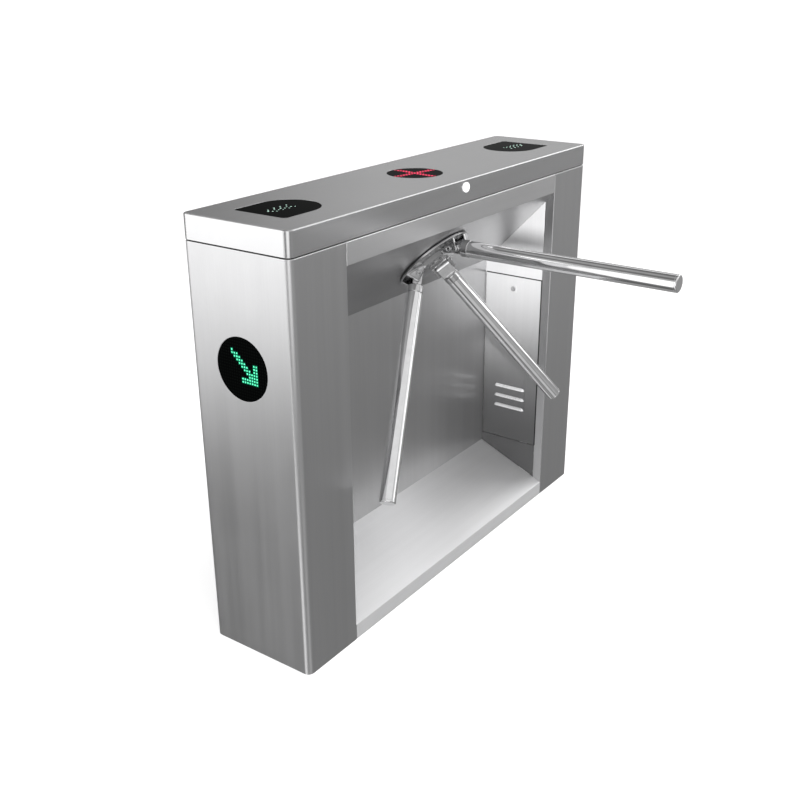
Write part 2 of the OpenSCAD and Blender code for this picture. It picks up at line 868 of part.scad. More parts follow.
module centre_window() {
    color("black") window_steps() {
        circle(centre_window_r);
        circle(centre_window_r + 6);
    }
}

module reader_modules() {
    top = lid_top_z - 4;
    color("dimgray") for (side = [-1, 1]) translate([side * (reader_end_x - 75), reader_y, 0]) {
        block([-45, -45, top - 16], [45, 45, top]);
        block([-38, -38, top - 19], [38, 38, top - 16]);
    }
}

module centre_display() {
    top = lid_top_z - 4;
    color("darkgreen") {
        block([-44, -44, top - 7], [44, 44, top]);
        translate([0, 0, top - 8.6]) cylinder(h = 1.6, r = centre_window_r - 3);
    }
}

// Hinges on the outside of the rear panel, near both ends of the lid
hinge_places = [-380, 380];
hinge_y = rear_y + 5;
hinge_z = lid_z - 1;
knuckle_r = 5;
hinge_pin_r = 2.5;

module knuckle(x, l, bore, lift) {
    difference() {
        union() {
            translate([x, hinge_y, hinge_z]) rotate([0, 90, 0])
                cylinder(h = l, r = knuckle_r, center = true);
            block(
                [x - l / 2, rear_y, min(hinge_z, hinge_z + lift)],
                [x + l / 2, hinge_y, max(hinge_z, hinge_z + lift)]
            );
        }
        translate([x, hinge_y, hinge_z]) rotate([0, 90, 0])
            cylinder(h = l + 2, r = bore, center = true);
    }
}

// Countersunk screws through a leaf, drawn as dimples
module leaf_dimples(x, z) {
    for (dx = [-22, 0, 22]) translate([x + dx, rear_y + 2.01, z]) rotate([90, 0, 0])
        cylinder(h = 1, r1 = 3.5, r2 = 2.5);
}

module lid_hinge_leaves() {
    color("silver") for (x = hinge_places) {
        for (s = [-1, 1]) knuckle(x + s * 21, 18, hinge_pin_r + press, -7);
        difference() {
            block([x - 30, rear_y, hinge_z - 45], [x + 30, rear_y + 2, hinge_z - 6.5]);
            leaf_dimples(x, hinge_z - 28);
        }
    }
}

module lid_hinge_pins() {
    color("gray") for (x = hinge_places) translate([x, hinge_y, hinge_z]) rotate([0, 90, 0]) {
        cylinder(h = 62, r = hinge_pin_r, center = true);
        for (s = [-1, 1]) translate([0, 0, s * 31]) cylinder(h = 2, r = 4, center = true);
    }
}

// The hinges' moving leaves
module lid_hinge_arms() {
    for (x = hinge_places) {
        knuckle(x, 22, hinge_pin_r + fit, 7);
        difference() {
            block([x - 30, rear_y, hinge_z + 6.5], [x + 30, rear_y + 2, hinge_z + 45]);
            leaf_dimples(x, hinge_z + 28);
        }
    }
}

// Key plug with its cam, shown unlocked
module lid_lock_plug() {
    color("silver") translate([0, front_y, lid_lock_z]) rotate([-90, 0, 0]) {
        difference() {
            translate([0, 0, -lid_lock_proud]) cylinder(h = 26 + lid_lock_proud, r = 8);
            translate([-0.8, -4, -lid_lock_proud - 1]) cube([1.6, 8, 4]);
        }
        translate([-6, -6, 23.5]) cube([48, 12, 2.5]);
    }
}

// ---- doors ----

module louvre_cut(r) {
    for (i = [0 : louvre_n - 1])
        translate([niche_x + 0.8, door_y, louvre_z + i * louvre_pitch]) capsule(louvre_l, r);
}

// Sheet door with folded edges, three stamped louvres, a lock collar and two foot tabs
module pillar_door() {
    low = [niche_x, door_y - door_w / 2, door_z];
    high = [niche_x + sheet_t, door_y + door_w / 2, door_z + door_h];
    inset = jamb_lap + 2;
    difference() {
        union() {
            block(low, high);
            difference() {
                block(low + [0.5, inset, inset], [niche_x + fold_d, high.y - inset, high.z - inset]);
                block(
                    low + [sheet_t, inset + sheet_t, inset + sheet_t],
                    [niche_x + 20, high.y - inset - sheet_t, high.z - inset - sheet_t]
                );
                block(
                    [niche_x + sheet_t, door_y - 34, high.z - inset - 5],
                    [niche_x + 20, door_y + 34, high.z]
                );
            }
            for (s = [-1, 1]) block(
                [niche_x + sheet_t, door_y + s * tab_y - 10, door_z],
                [niche_x + 9, door_y + s * tab_y + 10, door_z + 1.5]
            );
            block(
                [niche_x - 1, door_y - 10, door_lock_z - 10],
                [niche_x + 1, door_y + 10, door_lock_z + 10]
            );
            intersection() {
                louvre_cut(louvre_r);
                block([niche_x - 20, low.y, low.z], [niche_x + 1, high.y, high.z]);
                for (i = [0 : louvre_n - 1])
                    block(
                        [niche_x - 20, low.y, louvre_z + i * louvre_pitch],
                        [niche_x + 1, high.y, louvre_z + i * louvre_pitch + louvre_r]
                    );
            }
        }
        intersection() {
            louvre_cut(louvre_r - 1.4);
            for (i = [0 : louvre_n - 1])
                block(
                    [niche_x - 20, low.y, louvre_z + i * louvre_pitch - 0.01],
                    [niche_x + 5, high.y, louvre_z + i * louvre_pitch + louvre_r]
                );
        }
        translate([niche_x, door_y, door_lock_z]) rotate([0, 90, 0])
            cylinder(h = 20, r = 7 + fit, center = true);
    }
}

module right_door() color("gainsboro") pillar_door();
module left_door() color("gainsboro") mirror([1, 0, 0]) pillar_door();

// Key plug with its cam, shown unlocked
module door_lock() {
    translate([niche_x, door_y, door_lock_z]) rotate([0, 90, 0]) {
        difference() {
            translate([0, 0, -1.5]) cylinder(h = 9, r = 7);
            translate([-0.8, -3.5, -2.5]) cube([1.6, 7, 4]);
        }
        translate([-5, -5, 4]) cube([10, cam_reach + 5, 2]);
    }
}

module right_door_lock() color("silver") door_lock();
module left_door_lock() color("silver") mirror([1, 0, 0]) door_lock();

// ---- output ----

base_frame();
left_end_shell();
right_end_shell();
rear_panel();
header_panel();
niche_back_panel();
niche_floor_panel();
left_side_panel();
right_side_panel();
top_frame();
lid_gasket();
left_arrow_window();
right_arrow_window();
arrow_displays();
mechanism_front_plate();
mechanism_rear_plate();
spacer_posts();
bearing_housings();
shaft_bearings();
drive_motor();
left_lock_solenoid();
right_lock_solenoid();
pawl_pins();
release_solenoid();
encoder_sensor();
mechanism_screws();
control_board();
power_supply();
counter_module();
lid_hinge_leaves();
lid_hinge_pins();
hub();
hub_cap();
main_shaft();
main_gear();
lock_disc();
encoder_disc();
pivot_bolts();
side_arm_roots();
side_arm_tubes();
side_arm_caps();
barrier_arm_root();
barrier_arm_tube();
barrier_arm_cap();
pinion();
left_pawl();
right_pawl();
left_plunger();
right_plunger();
release_rod();
lid_cover();
reader_windows();
centre_window();
reader_modules();
centre_display();
lid_lock_plug();
left_door();
right_door();
left_door_lock();
right_door_lock();
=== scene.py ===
"""Looks of the visitor counter turnstile: brushed cabinet, polished tripod, LED indicators."""

import math

import bmesh
import bpy
from mathutils import Matrix, Vector


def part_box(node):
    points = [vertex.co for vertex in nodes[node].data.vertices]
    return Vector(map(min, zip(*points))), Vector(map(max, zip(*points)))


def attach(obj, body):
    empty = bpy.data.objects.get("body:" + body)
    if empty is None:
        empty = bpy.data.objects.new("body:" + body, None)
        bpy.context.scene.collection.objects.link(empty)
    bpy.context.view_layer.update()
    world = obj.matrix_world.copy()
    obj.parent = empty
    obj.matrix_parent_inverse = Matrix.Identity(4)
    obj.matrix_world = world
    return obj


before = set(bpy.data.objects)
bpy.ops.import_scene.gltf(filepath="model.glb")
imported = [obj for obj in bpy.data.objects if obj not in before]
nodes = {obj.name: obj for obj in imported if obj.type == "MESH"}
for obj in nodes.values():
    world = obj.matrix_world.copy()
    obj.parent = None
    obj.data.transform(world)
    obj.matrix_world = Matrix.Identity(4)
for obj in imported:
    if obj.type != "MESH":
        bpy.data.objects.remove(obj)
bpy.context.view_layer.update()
scene = bpy.context.scene

# ---- shader helpers ----


class Graph:
    """A material's or world's node tree, with short calls to add nodes and link them."""

    def __init__(self, tree):
        self.tree = tree
        self.tree.nodes.clear()

    def node(self, kind, inputs=None, **settings):
        made = self.tree.nodes.new(kind)
        for key, value in settings.items():
            setattr(made, key, value)
        for key, value in (inputs or {}).items():
            self.put(made, key, value)
        return made

    def put(self, made, key, value):
        socket = made.inputs[key]
        if isinstance(value, bpy.types.NodeSocket):
            self.tree.links.new(value, socket)
        else:
            socket.default_value = value

    def math(self, operation, a, b=0.0, c=0.0):
        return self.node("ShaderNodeMath", {0: a, 1: b, 2: c}, operation=operation).outputs[0]

    def ramp(self, value, low, high, to_low=0.0, to_high=1.0):
        """A smooth step from to_low to to_high, as the value goes from low to high."""
        made = self.node("ShaderNodeMapRange", {
            "Value": value, "From Min": low, "From Max": high, "To Min": to_low, "To Max": to_high},
            interpolation_type="SMOOTHSTEP")
        return made.outputs["Result"]

    def mix(self, factor, a, b):
        """A colour from a to b, by factor."""
        made = self.node("ShaderNodeMix", data_type="RGBA")
        self.put(made, "Factor", factor)
        self.put(made, 6, a)
        self.put(made, 7, b)
        return made.outputs[2]

    def between(self, factor, a, b):
        """A value from a to b, by factor."""
        return self.node("ShaderNodeMix", {0: factor, 2: a, 3: b}, data_type="FLOAT").outputs[0]

    def place(self, scale=(1, 1, 1)):
        """Object coordinates in metres, multiplied by scale."""
        at = self.node("ShaderNodeTexCoord").outputs["Object"]
        return self.node("ShaderNodeMapping", {"Vector": at, "Scale": scale}).outputs["Vector"]

    def noise(self, scale, detail=4.0, at=None, roughness=0.55):
        return self.node("ShaderNodeTexNoise", {
            "Vector": at or self.place(), "Scale": scale, "Detail": detail,
            "Roughness": roughness}).outputs["Fac"]

    def bump(self, height, strength, distance, normal=None):
        made = self.node("ShaderNodeBump", {
            "Height": height, "Strength": strength, "Distance": distance})
        if normal is not None:
            self.put(made, "Normal", normal)
        return made.outputs["Normal"]


def grey(value, tint=(1.0, 1.0, 1.0)):
    return (value * tint[0], value * tint[1], value * tint[2], 1.0)


def material(name, build, **constants):
    """A Principled material: constants sit on its sockets, and build links what varies."""
    made = bpy.data.materials.new(name)
    made.use_nodes = True
    graph = Graph(made.node_tree)
    shader = graph.node("ShaderNodeBsdfPrincipled")
    out = graph.node("ShaderNodeOutputMaterial")
    graph.put(out, "Surface", shader.outputs["BSDF"])
    for key, value in constants.items():
        shader.inputs[key.replace("_", " ")].default_value = value
    build(graph, shader)
    return made


STEEL_TINT = (1.0, 1.0, 1.008)


def brushed_steel(name, grain, low=0.605, high=0.645, rough=(0.29, 0.34), across=0.7, metal=1.0,
                  painted_shade_foot=None):
    """Satin stainless sheet, brushed along one axis ("x" or "z").

    across spreads its reflections over the grain, and metal below 1 adds the haze of blasted steel.
    painted_shade_foot paints shade towards the floor: the share of the colour left at the foot of a niche
    wall, and where that painted fade starts and ends above the floor.
    """
    fine = {"x": (3, 900, 900), "z": (900, 900, 3)}[grain]
    wide = {"x": (0.9, 46, 46), "z": (46, 46, 0.9)}[grain]
    along = {"x": (1.0, 0.0, 0.02), "z": (0.0, 0.02, 1.0)}[grain]

    def build(graph, shader):
        hairs = graph.noise(1.0, 3.0, graph.place(fine), 0.6)
        bands = graph.noise(1.0, 3.0, graph.place(wide), 0.5)
        smudges = graph.noise(5.0, 5.0)
        tone = graph.math("MULTIPLY_ADD", hairs, 0.5, graph.math("MULTIPLY", bands, 0.5))
        colour = graph.mix(graph.ramp(tone, 0.30, 0.70), grey(low, STEEL_TINT), grey(high, STEEL_TINT))
        # Painted shade: the colour darkens towards the foot of the niche wall
        if painted_shade_foot:
            share, start, end = painted_shade_foot
            split = graph.node("ShaderNodeSeparateXYZ", {"Vector": graph.place()})
            dark = grey(share * (low + high) / 2, STEEL_TINT)
            colour = graph.mix(graph.ramp(split.outputs[2], start, end), dark, colour)
        graph.put(shader, "Base Color", colour)
        wear = graph.math("MULTIPLY_ADD", smudges, 0.6, graph.math("MULTIPLY", bands, 0.4))
        graph.put(shader, "Roughness", graph.ramp(wear, 0.30, 0.70, rough[0], rough[1]))
        graph.put(shader, "Normal", graph.bump(hairs, 0.05, 0.0002))
        lines = graph.node("ShaderNodeVectorTransform", {"Vector": along}, vector_type="VECTOR",
                           convert_from="OBJECT", convert_to="WORLD").outputs[0]
        facing = graph.node("ShaderNodeNewGeometry").outputs["Normal"]
        graph.put(shader, "Tangent", graph.node(
            "ShaderNodeVectorMath", {0: facing, 1: lines}, operation="CROSS_PRODUCT").outputs[0])

    return material(name, build, Metallic=metal, Anisotropic=across)


def polished_metal(name, low, high, rough, tint=STEEL_TINT, dents=0.0, wave=0.04, metal=1.0):
    """Smooth metal with faint polishing marks, smudges, soft waviness and, if wanted, cast dents."""

    def build(graph, shader):
        marks = graph.noise(900.0, 3.0)
        smudges = graph.noise(38.0, 6.0)
        slow = graph.noise(9.0, 2.0)
        graph.put(shader, "Base Color", graph.mix(
            graph.ramp(smudges, 0.32, 0.68), grey(low, tint), grey(high, tint)))
        graph.put(shader, "Roughness", graph.ramp(
            graph.math("MULTIPLY_ADD", marks, 0.3, graph.math("MULTIPLY", smudges, 0.7)),
            0.30, 0.70, rough[0], rough[1]))
        soft = graph.bump(slow, wave, 0.004)
        if dents:
            soft = graph.bump(graph.noise(260.0, 4.0), dents, 0.0006, soft)
        graph.put(shader, "Normal", graph.bump(marks, 0.03, 0.0001, soft))

    return material(name, build, Metallic=metal)


def plastic(name, colour, rough, texture=900.0, depth=0.25, coat=0.0, spread=0.25):
    """Moulded or painted surface with a fine texture and uneven sheen."""

    def build(graph, shader):
        grains = graph.noise(texture, 4.0)
        cloud = graph.noise(22.0, 5.0)
        darker = tuple(c * (1.0 - spread) for c in colour) + (1.0,)
        lighter = tuple(min(1.0, c * (1.0 + spread)) for c in colour) + (1.0,)
        graph.put(shader, "Base Color", graph.mix(graph.ramp(cloud, 0.3, 0.7), darker, lighter))
        graph.put(shader, "Roughness", graph.ramp(cloud, 0.3, 0.7, rough[0], rough[1]))
        graph.put(shader, "Normal", graph.bump(grains, depth, 0.0003))

    return material(name, build, Coat_Weight=coat)


def window_black(name, axes, pitch):
    """Smoked glossy window over an unlit LED matrix. axes are the two in-plane axes."""

    def build(graph, shader):
        at = graph.node("ShaderNodeTexCoord").outputs["Object"]
        split = graph.node("ShaderNodeSeparateXYZ", {"Vector": at})
        offs = []
        for axis in axes:
            cell = graph.math("DIVIDE", split.outputs[axis], pitch)
            offs.append(graph.math("SUBTRACT", graph.math("FRACT", cell), 0.5))
        squares = graph.math("MULTIPLY_ADD", offs[0], offs[0], graph.math("MULTIPLY", offs[1], offs[1]))
        dot = graph.ramp(squares, 0.05, 0.12, 1.0, 0.0)
        smudges = graph.noise(26.0, 6.0)
        graph.put(shader, "Base Color", graph.mix(
            dot, (0.0010, 0.0011, 0.0012, 1), (0.004, 0.005, 0.0045, 1)))
        graph.put(shader, "Roughness", graph.ramp(smudges, 0.35, 0.75, 0.03, 0.08))
        graph.put(shader, "Normal", graph.bump(graph.noise(14.0, 1.0), 0.02, 0.004))

    return material(name, build, Specular_IOR_Level=0.0015)


def led(name, colour, strength, spread=0.35):
    """Lit LED: its own colour, with each dot a little brighter or dimmer."""

    def build(graph, shader):
        uneven = graph.noise(160.0, 1.0)
        low = tuple(c * (1.0 - spread) for c in colour) + (1.0,)
        lit = graph.mix(graph.ramp(uneven, 0.3, 0.7), low, colour + (1.0,))
        graph.put(shader, "Base Color", lit)
        graph.put(shader, "Emission Color", lit)

    return material(name, build, Emission_Strength=strength, Roughness=0.3, Specular_IOR_Level=0.02)


# ---- materials of the CAD nodes ----

# Spacing of the LEDs in the round displays and in the readers, in metres
PITCH, READER_PITCH = 0.0064, 0.006

SHEET_UPRIGHT = brushed_steel("steel_brushed_upright", "z")
# Niche walls: lighter than the uprights' steel, painted light at the top, and fading to about a quarter
# of that colour towards the floor, painted shade
SHEET_INNER_PAINTED_SHADE = brushed_steel("steel_satin_inner", "z", 0.74, 0.78, (0.30, 0.36), 0.5, 0.75,
                            (0.24, 0.16, 0.68))
SHEET_BACK = brushed_steel("steel_brushed_back", "z", 0.56, 0.60, (0.33, 0.38))
SHEET_LONG = brushed_steel("steel_brushed_long", "x", 0.66, 0.70, across=0.5)
# Same sheet as the header's front strip, in a darker tone: painted shade on the down-facing slope
SHEET_SLOPE_PAINTED_SHADE = brushed_steel("steel_brushed_slope", "x", 0.53, 0.57, across=0.5)
# Niche floor: lighter than the uprights' steel, painted light on the up-facing floor
SHEET_FLOOR_PAINTED_LIGHT = brushed_steel("steel_brushed_floor", "x", 0.76, 0.80, metal=0.65)
SHEET_LID = brushed_steel("steel_brushed_lid", "x", 0.55, 0.59, (0.22, 0.27), 0.0)
HUB_METAL = polished_metal("steel_cast_polished", 0.50, 0.60, (0.10, 0.17), wave=0.01)
ARM_METAL = polished_metal("steel_tube_polished", 0.74, 0.80, (0.04, 0.09), wave=0.01)
LOCK_METAL = polished_metal("chrome_lock", 0.76, 0.84, (0.08, 0.16), wave=0.02)
LID_LOCK_METAL = polished_metal("nickel_lock", 0.52, 0.62, (0.25, 0.35), wave=0.0, metal=0.3)
# The doors' louvres: a paler, hazier steel than the doors', a painted highlight on their hoods
LOUVRE_PAINTED_LIGHT = polished_metal("steel_louvre", 0.90, 0.96, (0.25, 0.35), wave=0.0, metal=0.3)
MACHINED = polished_metal("steel_machined", 0.42, 0.56, (0.25, 0.40), dents=0.1)
ZINC = polished_metal("zinc_plated", 0.40, 0.55, (0.32, 0.50), tint=(1.0, 0.99, 0.93), dents=0.25)
BRASS = polished_metal("brass_cut", 0.60, 0.75, (0.22, 0.36), tint=(1.0, 0.74, 0.36), dents=0.08)
FRAME_PAINT = plastic("powder_coat_dark", (0.075, 0.076, 0.08), (0.42, 0.60), 1300.0, 0.4)
RUBBER = plastic("rubber_black", (0.018, 0.018, 0.018), (0.6, 0.8), 700.0, 0.35)
HOUSING = plastic("housing_black", (0.03, 0.03, 0.033), (0.35, 0.52), 1500.0, 0.3)
BOARD = plastic("solder_mask_green", (0.02, 0.15, 0.06), (0.25, 0.4), 800.0, 0.2, coat=0.3)
GREEN_BOARD = plastic("display_board_green", (0.02, 0.12, 0.05), (0.3, 0.45), 800.0, 0.2)
RED_BOARD = plastic("display_board_red", (0.16, 0.015, 0.015), (0.3, 0.45), 800.0, 0.2)
END_WINDOW = window_black("window_end", ("Y", "Z"), PITCH)
TOP_WINDOW = window_black("window_top", ("X", "Y"), PITCH)
GREEN_LED = led("led_green", (0.10, 0.78, 0.42), 1.25)
GREEN_GLOW = led("led_green_glow", (0.0, 0.105, 0.052), 0.55)
WHITE_LED = led("led_pale", (0.50, 0.72, 0.62), 1.1, 0.8)
RED_LED = led("led_red", (0.80, 0.05, 0.12), 0.75, 0.5)
RED_GLOW = led("led_red_glow", (0.19, 0.0, 0.012), 0.6)

# Node names by material, with the width of their rounded edges in millimetres
DRESS = [
    (SHEET_UPRIGHT, 0.5, ["left_end_shell", "right_end_shell", "rear_panel"]),
    (SHEET_INNER_PAINTED_SHADE, 0.5, ["left_side_panel", "right_side_panel", "left_door", "right_door"]),
    (SHEET_BACK, 0.5, ["niche_back_panel"]),
    (SHEET_LONG, 0.5, ["header_panel"]),
    (SHEET_FLOOR_PAINTED_LIGHT, 0.5, ["niche_floor_panel"]),
    (SHEET_LID, 0.4, ["lid_cover"]),
    (FRAME_PAINT, 0.5, ["base_frame", "top_frame"]),
    (RUBBER, 0.5, ["lid_gasket"]),
    (END_WINDOW, 0.3, ["left_arrow_window", "right_arrow_window"]),
    (TOP_WINDOW, 0.3, ["reader_windows", "centre_window"]),
    (GREEN_BOARD, 0.0, ["arrow_displays"]),
    (RED_BOARD, 0.0, ["centre_display"]),
    (ZINC, 0.4, ["mechanism_front_plate", "mechanism_rear_plate", "bearing_housings",
                 "power_supply"]),
    (MACHINED, 0.3, ["spacer_posts", "pawl_pins", "mechanism_screws", "lid_hinge_pins",
                     "release_rod", "left_plunger", "right_plunger", "main_shaft", "lock_disc",
                     "left_pawl", "right_pawl", "shaft_bearings"]),
    (LOCK_METAL, 0.3, ["lid_hinge_leaves", "left_door_lock", "right_door_lock"]),
    (LID_LOCK_METAL, 0.3, ["lid_lock_plug"]),
    (HOUSING, 0.4, ["drive_motor", "left_lock_solenoid", "right_lock_solenoid", "release_solenoid",
                    "encoder_sensor", "reader_modules", "counter_module", "encoder_disc"]),
    (BOARD, 0.0, ["control_board"]),
    (BRASS, 0.0, ["main_gear", "pinion"]),
    (HUB_METAL, 1.0, ["hub", "hub_cap", "pivot_bolts", "side_arm_roots", "barrier_arm_root"]),
    (ARM_METAL, 0.3, ["side_arm_tubes", "side_arm_caps", "barrier_arm_tube", "barrier_arm_cap"]),
]


def soften(obj, width_mm):
    """Joins the node's split faces, rounds its edges and evens the shading."""
    weld = obj.modifiers.new("join", "WELD")
    weld.merge_threshold = 0.00001
    if width_mm > 0:
        bevel = obj.modifiers.new("round", "BEVEL")
        bevel.width = width_mm / 1000
        bevel.segments = 2
        bevel.limit_method = "ANGLE"
        bevel.angle_limit = math.radians(35)
        bevel.use_clamp_overlap = False
        bevel.miter_outer = "MITER_ARC"
    even = obj.modifiers.new("even", "WEIGHTED_NORMAL")
    even.keep_sharp = False
    even.weight = 60


for skin, width, names in DRESS:
    for name in names:
        nodes[name].data.materials.clear()
        nodes[name].data.materials.append(skin)
        nodes[name].data.polygons.foreach_set("use_smooth", [True] * len(nodes[name].data.polygons))
        soften(nodes[name], width)


def dress_faces(name, skin, chosen):
    """Gives a second material to the faces of a node whose middle the test picks."""
    node = nodes[name]
    node.data.materials.append(skin)
    for face in node.data.polygons:
        if chosen(node.matrix_world @ face.center):
            face.material_index = 1


# The lock's collar is what stands in front of the lid, the slope is what lies under the header's
# bend, and the louvres are what stands further into the niche than the doors' lock patch
LID_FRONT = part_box("lid_lock_plug")[0].y + 0.0035
BEND_Z = 0.8775
NICHE_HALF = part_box("right_side_panel")[0].x
LOUVRE_PROUD = 0.0013
dress_faces("lid_cover", LID_LOCK_METAL, lambda at: at.y < LID_FRONT)
# Painted shade: the header's slope gets the darker copy of its steel
dress_faces("header_panel", SHEET_SLOPE_PAINTED_SHADE, lambda at: at.z < BEND_Z)
# Painted highlight: the louvres in the doors get the near-white copy of the steel
for name in ("left_door", "right_door"):
    dress_faces(name, LOUVRE_PAINTED_LIGHT, lambda at: abs(at.x) < NICHE_HALF - LOUVRE_PROUD)

# ---- rubber strips over the doors' gaps ----

# Thickness, reach beyond the door's edge, and the gap left so that the door swings clear, in metres
STRIP_T, STRIP_W, STRIP_GAP = 0.0005, 0.0034, 0.0002


def slab(name, low, high, skin, body):
    """Plain box between two corners, riding a body."""
    mesh = bmesh.new()
    bmesh.ops.create_cube(mesh, size=1.0)
    for corner in mesh.verts:
        corner.co = [low[i] + (high[i] - low[i]) * (corner.co[i] + 0.5) for i in range(3)]
    data = bpy.data.meshes.new(name)
    mesh.to_mesh(data)
    mesh.free()
    data.materials.append(skin)
    made = bpy.data.objects.new(name, data)
    scene.collection.objects.link(made)
    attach(made, body)


for side, label in ((-1, "left"), (1, "right")):
    low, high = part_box(f"{label}_door")
    near, far = sorted((side * NICHE_HALF, side * (NICHE_HALF - STRIP_T)))
    strips = {"top": ((low.y, high.z + STRIP_GAP), (high.y, high.z + STRIP_W)),
              "front": ((low.y - STRIP_W, low.z), (low.y - STRIP_GAP, high.z + STRIP_W))}
    for place, (start, end) in strips.items():
        slab(f"{label}_door_{place}_strip", (near, *start), (far, *end), RUBBER, "cabinet")

# ---- LED dots ----

# Radius of the dots in the round displays and in the readers, and the height of all of them
DOT_R, READER_DOT_R = 0.0019, 0.0017
DOT_HEIGHT = 0.0003
# How far the tiles and the dots stand off the window, so that no two faces share a plane
TILE_LIFT, DOT_LIFT = 0.00004, 0.00006


def dot_matrix(name, places, origin, right, down, out, radius, tile, skins, body):
    """Domed dots on a grid, each on a dim tile of light. places are (column, row) steps in metres."""
    mesh = bmesh.new()
    sides, rings = 12, 3
    for across, along in places:
        centre = Vector(origin) + across * right + along * down
        corners = [mesh.verts.new(centre + out * TILE_LIFT + sx * tile / 2 * right + sy * tile / 2 * down)
                   for sx, sy in ((-1, -1), (1, -1), (1, 1), (-1, 1))]
        face = mesh.faces.new(corners)
        face.material_index = 1
        loops = []
        for ring in range(rings):
            angle = math.pi / 2 * ring / rings
            r, h = radius * math.cos(angle), DOT_HEIGHT * math.sin(angle)
            loops.append([mesh.verts.new(
                centre + out * (h + DOT_LIFT) + r * math.cos(2 * math.pi * i / sides) * right
                + r * math.sin(2 * math.pi * i / sides) * down) for i in range(sides)])
        top = mesh.verts.new(centre + out * (DOT_HEIGHT + DOT_LIFT))
        for low, high in zip(loops, loops[1:]):
            for i in range(sides):
                j = (i + 1) % sides
                mesh.faces.new((low[i], low[j], high[j], high[i])).smooth = True
        for i in range(sides):
            mesh.faces.new((loops[-1][i], loops[-1][(i + 1) % sides], top)).smooth = True
    bmesh.ops.recalc_face_normals(mesh, faces=mesh.faces)
    data = bpy.data.meshes.new(name)
    mesh.to_mesh(data)
    mesh.free()
    for face in data.polygons:
        if face.normal.dot(out) < 0 and face.material_index == 1:
            face.flip()
    for skin in skins:
        data.materials.append(skin)
    made = bpy.data.objects.new(name, data)
    scene.collection.objects.link(made)
    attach(made, body)


def arrow_cells():
    """(column, row) cells of an arrow that points to the lower right."""
    cells = {(row + shift, row) for row in range(9) for shift in (0, 1, 2)} - {(0, 0), (2, 0)}
    cells |= {(column, row) for column in (10, 11) for row in range(4, 11)}
    cells |= {(column, row) for row in (9, 10) for column in range(5, 12)}
    return sorted(cells)


OUT_X, OUT_Y, OUT_Z = Vector((1, 0, 0)), Vector((0, 1, 0)), Vector((0, 0, 1))
for side, label in ((-1, "left"), (1, "right")):
    low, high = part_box(f"{label}_arrow_window")
    face_x = low.x if side < 0 else high.x
    middle = Vector((face_x, (low.y + high.y) / 2, (low.z + high.z) / 2))
    steps = [((c - 5.0) * PITCH, (r - 6.0) * PITCH) for c, r in arrow_cells()]
    dot_matrix(f"{label}_arrow_dots", steps, middle, -OUT_Y, -OUT_Z, side * OUT_X,
               DOT_R, PITCH, (GREEN_LED, GREEN_GLOW), "cabinet")

low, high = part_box("centre_window")
middle = Vector(((low.x + high.x) / 2, (low.y + high.y) / 2, high.z))
cross = sorted({(i + w, i * s) for i in range(-6, 7) for s in (-1, 1) for w in (-1, 0, 1)})
steps = [(c * PITCH, r * PITCH) for c, r in cross]
# The cross faces a visitor who comes from the near corner
CROSS_TURN = math.radians(-54)
across = Vector((math.cos(CROSS_TURN), math.sin(CROSS_TURN), 0))
dot_matrix("centre_cross_dots", steps, middle, across, across.cross(OUT_Z), OUT_Z, DOT_R,
           PITCH, (RED_LED, RED_GLOW), "lid")

# Four chevrons, centred this far in from the outer end of the windows' hidden rim, in metres
CHEVRON_IN = 0.068
chevrons = [(3 * k + abs(r), r) for k in range(4) for r in (-2, -1, 0, 1, 2)]
for side, label in ((-1, "left"), (1, "right")):
    low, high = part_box("reader_windows")
    end = low.x if side < 0 else high.x
    middle = Vector((end - side * CHEVRON_IN, (low.y + high.y) / 2, high.z))
    steps = [((c - 5.5) * READER_PITCH, r * READER_PITCH) for c, r in chevrons]
    dot_matrix(f"{label}_reader_dots", steps, middle, -side * OUT_X, OUT_Y, OUT_Z, READER_DOT_R,
               READER_PITCH, (WHITE_LED, TOP_WINDOW), "lid")

# ---- floor, light and camera ----

floor_mesh = bpy.data.meshes.new("floor")
HALF = 60.0
floor_mesh.from_pydata([(-HALF, -HALF, 0), (HALF, -HALF, 0), (HALF, HALF, 0), (-HALF, HALF, 0)],
                       [], [(0, 1, 2, 3)])
floor = bpy.data.objects.new("floor", floor_mesh)
scene.collection.objects.link(floor)
# Just under the feet, so that the two don't share a plane
floor.location.z = -0.0005
floor_skin = bpy.data.materials.new("floor_pale")
floor_skin.use_nodes = True
graph = Graph(floor_skin.node_tree)
pale = graph.node("ShaderNodeBsdfDiffuse", {"Color": grey(0.86)})
glow = graph.node("ShaderNodeEmission", {"Color": grey(1.0), "Strength": 0.45})
both = graph.node("ShaderNodeAddShader", {0: pale.outputs[0], 1: glow.outputs[0]})
graph.node("ShaderNodeOutputMaterial", {"Surface": both.outputs[0]})
floor_mesh.materials.append(floor_skin)
floor.visible_glossy = False

world = bpy.data.worlds.new("studio")
scene.world = world
world.use_nodes = True
graph = Graph(world.node_tree)
ray = graph.node("ShaderNodeTexCoord").outputs["Generated"]
part = graph.node("ShaderNodeSeparateXYZ", {"Vector": ray})
height = part.outputs[2]
# Degrees round the object: from -X towards +Y, and from +X towards +Y
from_left, from_right = (graph.math("MULTIPLY", graph.math(
    "ARCTAN2", part.outputs[1], graph.math("MULTIPLY", part.outputs[0], sign)), 180 / math.pi)
    for sign in (-1.0, 1.0))


def window(value, low, high, soft):
    """1 between low and high, falling to 0 over a soft edge."""
    rise = graph.ramp(value, low - soft, low + soft)
    return graph.math("MULTIPLY", rise, graph.ramp(value, high - soft, high + soft, 1.0, 0.0))


